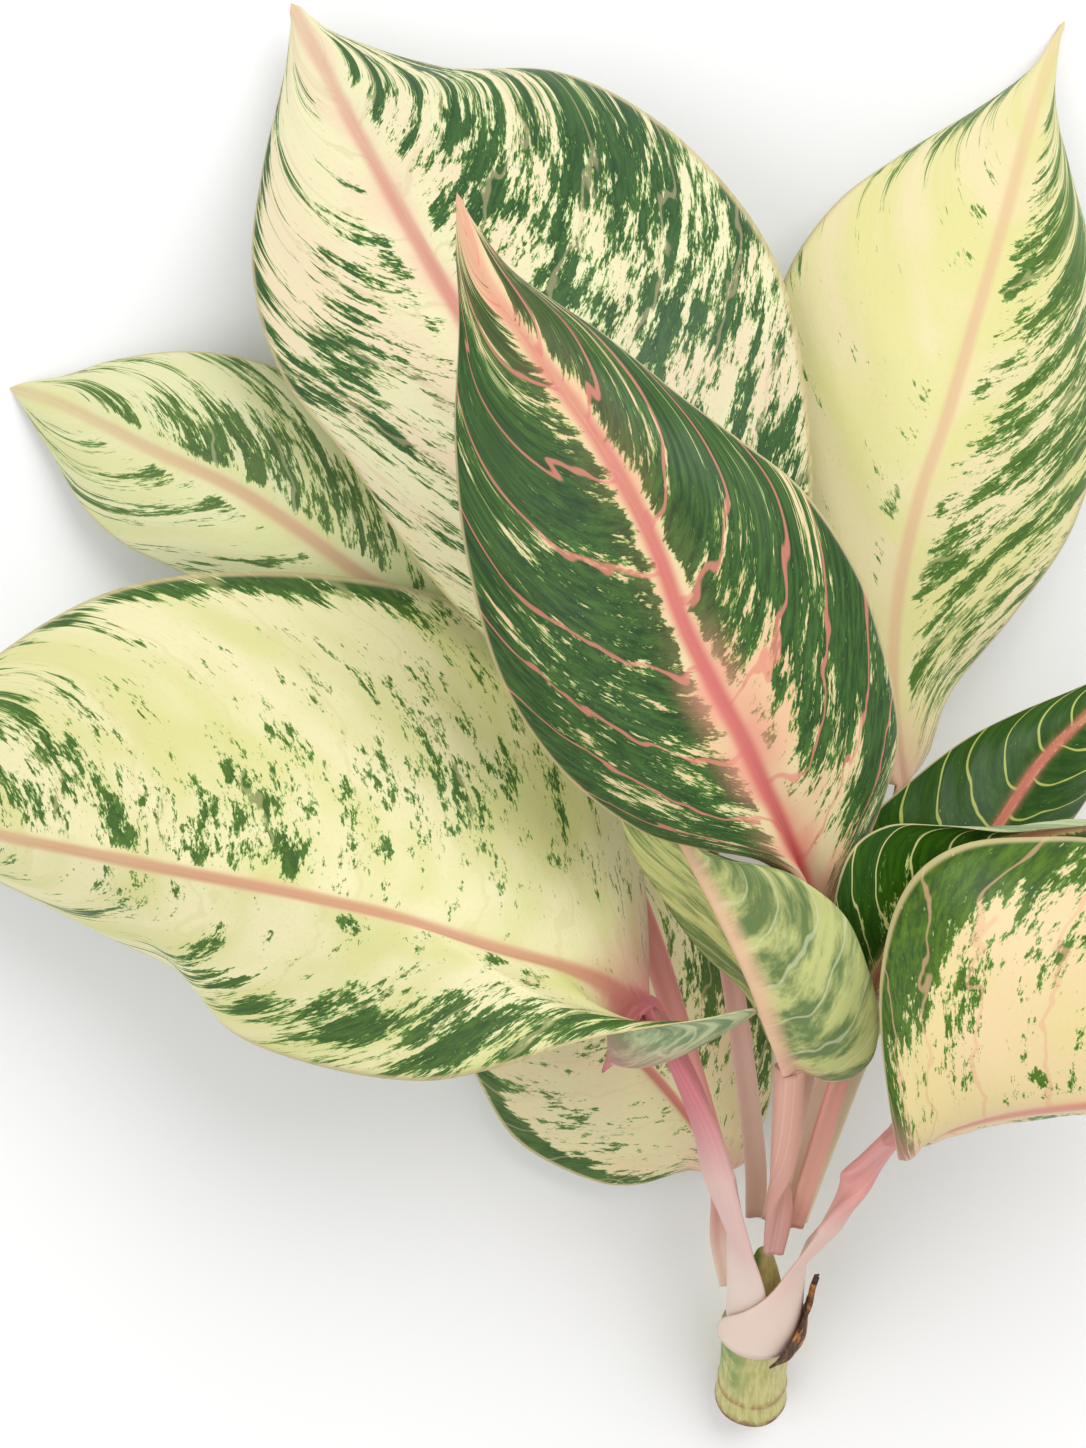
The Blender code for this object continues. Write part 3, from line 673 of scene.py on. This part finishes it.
# ---------------------------------------------------------------------------
# The low left leaf: a small cream blade under the left front one, with a green
# lower edge. It leaves the cane just above the surface.
# ---------------------------------------------------------------------------
leaf_low_left = dict(
    seed=6, slot="pale_blade", ground=-0.16, pale=(236, 228, 180), pale_two=(238, 220, 176),
    deep=(60, 92, 44), deep_two=(94, 124, 62), vein_colour=(226, 206, 164), vein_share=0.3, halo=3,
    blush=0.5, halo_colour=(230, 180, 150), rib_colour=(206, 120, 108), rib_reach=1.8,
    foot_colour=(236, 208, 188), stalk_colour=(226, 170, 160), clear=2.0,
    patches=[(0.4, -0.94, 0.35, 0.08, 0.5), (0.35, 0.85, 0.2, 0.2, 0.25), (0.45, 0.4, 0.2, 0.3, 0.12)],
    stalk=[(46, -139, 28, 2.4), (44, -128, 28, 2.6), (44, -118, 27, 2.4)],
    rib=[(43, -112, 27), (40, -103, 27), (29, -89, 25), (17, -77, 22), (4, -63, 18), (-11, -50, 12),
         (-27, -35, 3.4)],
    left=[(36, -112, 22), (24, -116, 19), (12, -115, 17), (-6, -106, 14), (-16, -92, 12), (-23, -76, 9),
          (-26, -58, 7)],
    right=[(51, -108, 25), (57, -91, 25), (56, -71, 25), (48, -54, 22), (35, -42, 17), (15, -35, 11),
           (-6, -32, 7)],
    swell_left=(1, 2, 3, 2, 0), swell_right=(1, 2, 3, 2, 0),
)
grow_leaf("leaf_low_left", leaf_low_left)

# ---------------------------------------------------------------------------
# The right middle leaf: a small deep green blade with thin yellow veins, on a
# cream stalk that crosses the crown.
# ---------------------------------------------------------------------------
leaf_right_mid = dict(
    seed=7, slot="patterned_blade", ground=0.42, pale=(208, 212, 96), pale_two=(198, 204, 88),
    deep=(30, 70, 2), deep_two=(54, 96, 6), vein_colour=(204, 210, 112), vein_share=0.8, halo=3,
    blush=0.5, halo_colour=(214, 150, 120), rib_colour=(206, 112, 100), rib_reach=1.8,
    foot_colour=(236, 222, 188), stalk_colour=(236, 220, 180), clear=1.2,
    patches=[],
    stalk=[(60.5, -118, 51, 2.5), (66, -98, 60, 2.8), (75, -72, 66, 2.8), (85, -50, 69, 2.4)],
    rib=[(88, -42, 70), (94, -33, 71), (103, -25, 71), (115, -9, 66), (127, 2, 60), (147, 18, 46)],
    left=[(79, -36, 65), (75, -24, 66), (83, -15, 66), (97, -4, 65), (111, 3, 62), (128, 9, 55),
          (139, 14, 50)],
    right=[(93, -43, 64), (105, -39, 60), (117, -30, 58), (128, -18, 55), (137, -5, 51), (143, 7, 48)],
    swell_left=(0, 2, 2, 1, 0), swell_right=(0, 2, 2, 1, 0),
)
grow_leaf("leaf_right_mid", leaf_right_mid)

# ---------------------------------------------------------------------------
# The right small leaf: deep green with a cream vein loop. Its upper half folds up
# along the midrib, and its lower half lies under the right front leaf.
# ---------------------------------------------------------------------------
leaf_right_small = dict(
    seed=8, slot="patterned_blade", ground=0.34, pale=(228, 224, 146), pale_two=(216, 216, 124),
    deep=(30, 70, 2), deep_two=(54, 96, 8), vein_colour=(228, 220, 150), vein_share=0.85, halo=4,
    blush=0.7, halo_colour=(234, 190, 150), rib_colour=(216, 128, 112), rib_reach=2.2,
    foot_colour=(232, 180, 160), stalk_colour=(230, 160, 145), clear=2.5,
    patches=[(0.0, 0, 0.25, 0.7, -0.5)],
    stalk=[(59, -118, 58, 2.2), (61, -106, 68, 2.4), (66, -82, 82, 2.4), (70, -67, 90, 2.2)],
    rib=[(72, -60, 93), (75, -51, 97), (83, -38, 102), (95, -27, 103), (112, -23, 98), (125, -23, 90),
         (136, -26, 82)],
    left=[(66, -55, 97), (62, -42, 104), (65, -28, 109), (73, -22, 111), (85, -22, 110), (98, -23, 107),
          (110, -22, 101), (123, -22, 92), (130, -24, 87)],
    right=[(76, -62, 88), (83, -58, 86), (93, -51, 84), (105, -44, 82), (116, -37, 80), (128, -32, 79),
           (135, -28, 79)],
    swell_left=(0, 1, -1, -1, 0), swell_right=(0, 2, 2, 1, 0),
)
grow_leaf("leaf_right_small", leaf_right_small)

# ---------------------------------------------------------------------------
# The right front leaf: a peach-cream blade with a green band along its margin,
# folded along its midrib so that its lower half hangs. Its sheath clasps the cane.
# ---------------------------------------------------------------------------
leaf_right_front = dict(
    seed=9, slot="pale_blade", ground=-0.1, pale=(238, 212, 164), pale_two=(234, 214, 154),
    deep=(48, 80, 22), deep_two=(88, 124, 22), vein_colour=(228, 176, 140), vein_share=0.5, halo=5,
    blush=0.8, halo_colour=(238, 190, 155), rib_colour=(226, 150, 132), rib_reach=2.6,
    foot_colour=(240, 216, 200), stalk_colour=(228, 156, 150), clear=5.0, channel=0.3, ripple=0.5,
    patches=[(0.25, -0.95, 0.5, 0.16, 0.46), (0.7, -0.5, 0.3, 0.3, 0.06),
             (0.2, -0.25, 0.25, 0.25, -0.12)],
    sheath=[(32, 22, 108, 9.6), (40, 32, 98, 9.5), (48, 44, 74, 9.3), (56, 54, 50, 9.2), (64, 60, 34, 9.8)],
    stalk=[(65, -114, 71, 4.2), (69, -104, 82, 3.8), (74, -95, 92, 3.2)],
    rib=[(77, -90, 98), (86, -87, 106), (99, -83, 112), (115, -81, 113), (131, -80, 110), (151, -80, 100),
         (171, -84, 84), (191, -89, 66)],
    left=[(76, -93, 106), (73, -79, 112), (71, -64, 114), (71, -52, 115), (74, -39, 115), (80, -30, 115),
          (90, -25, 113), (104, -24, 109), (120, -25, 104), (139, -32, 97), (159, -48, 87), (176, -67, 77),
          (185, -79, 70)],
    right=[(79, -94, 90), (92, -88, 78), (107, -85, 70), (126, -83, 66), (143, -83, 63), (163, -84, 60),
           (180, -87, 58), (189, -89, 60)],
    swell_left=(2, 7, 8, 5, 0), swell_right=(1, 3, 4, 2, 0),
)
grow_leaf("leaf_right_front", leaf_right_front)

# ---------------------------------------------------------------------------
# The young leaf: still upright in the crown, it turns its ash-green back and its
# pink keel outwards.
# ---------------------------------------------------------------------------
leaf_young = dict(
    seed=10, slot="patterned_blade", ground=0.2, pale=(228, 226, 170), pale_two=(216, 222, 150),
    deep=(36, 78, 40), deep_two=(58, 104, 50), vein_colour=(224, 220, 180), vein_share=0.6, halo=4,
    blush=0.6, halo_colour=(232, 180, 160), rib_colour=(222, 170, 150), rib_reach=2.6,
    foot_colour=(206, 150, 138), stalk_colour=(218, 166, 148), clear=2.5, under_pale=(206, 210, 136),
    under_deep=(112, 136, 80), keel_colour=(234, 192, 158),
    patches=[],
    stalk=[(54, -124, 59, 2.4), (54.5, -112, 69, 3.3), (55, -92, 80, 3.6)],
    rib=[(55, -75, 87), (47, -57, 98), (39, -41, 103), (32, -27, 103), (27, -14, 98), (23, -1, 90)],
    left=[(65, -80, 85), (72, -74, 92), (73, -64, 98), (70, -53, 105), (64, -41, 112), (54, -33, 118),
          (47, -30, 116), (40, -29, 113), (34, -27, 107), (27, -17, 97)],
    right=[(50, -70, 84), (45, -61, 84), (36, -51, 84), (27, -38, 84), (19, -27, 84), (16, -15, 84),
           (18, -5, 86)],
    swell_left=(-1, -3, -2, 0, 0), swell_right=(1, 2, 2, 0, 0),
)
grow_leaf("leaf_young", leaf_young)

# ---------------------------------------------------------------------------
# The stage: a white surface that the shoot lies on, soft studio light from a
# large key lamp and a weak fill, and a camera that looks straight down.
# ---------------------------------------------------------------------------
CAMERA_HEIGHT = 600.0
LENS_LENGTH = 57.4
FLOOR_REACH = 2.5


def shine(name, place, aim, size, power):
    lamp = bpy.data.lights.new(name, "AREA")
    lamp.shape = "DISK"
    lamp.size = size
    lamp.energy = power
    thing = bpy.data.objects.new(name, lamp)
    thing.location = place
    thing.rotation_euler = (Vector(aim) - Vector(place)).to_track_quat("-Z", "Y").to_euler()
    bpy.context.collection.objects.link(thing)


def lay_floor():
    mesh = bpy.data.meshes.new("floor")
    corners = [(x * FLOOR_REACH, y * FLOOR_REACH, 0) for x, y in ((-1, -1), (1, -1), (1, 1), (-1, 1))]
    mesh.from_pydata(corners, [], [(0, 1, 2, 3)])
    finish = bpy.data.materials.new("floor")
    finish.use_nodes = True
    shader = finish.node_tree.nodes["Principled BSDF"]
    shader.inputs["Base Color"].default_value = (0.97, 0.97, 0.97, 1)
    shader.inputs["Roughness"].default_value = 0.9
    mesh.materials.append(finish)
    floor = bpy.data.objects.new("floor", mesh)
    bpy.context.collection.objects.link(floor)


def set_camera():
    lens = bpy.data.cameras.new("camera")
    lens.lens = LENS_LENGTH
    lens.sensor_width = 36.0
    lens.clip_start = 0.01
    lens.clip_end = 20.0
    camera = bpy.data.objects.new("camera", lens)
    camera.location = (Vector(SHIFT) + Vector((0, 0, CAMERA_HEIGHT))) * MM
    bpy.context.collection.objects.link(camera)
    bpy.context.scene.camera = camera


lay_floor()
world = bpy.data.worlds.new("studio")
world.use_nodes = True
world.node_tree.nodes["Background"].inputs["Color"].default_value = (1.0, 1.0, 1.0, 1)
world.node_tree.nodes["Background"].inputs["Strength"].default_value = 0.6
bpy.context.scene.world = world
shine("key", (0.55, 0.75, 1.3), (0, 0, 0.05), 1.1, 12)
shine("fill", (-0.8, -0.3, 1.2), (0, 0, 0.05), 1.2, 5)
set_camera()

bpy.context.scene.view_settings.view_transform = "Standard"
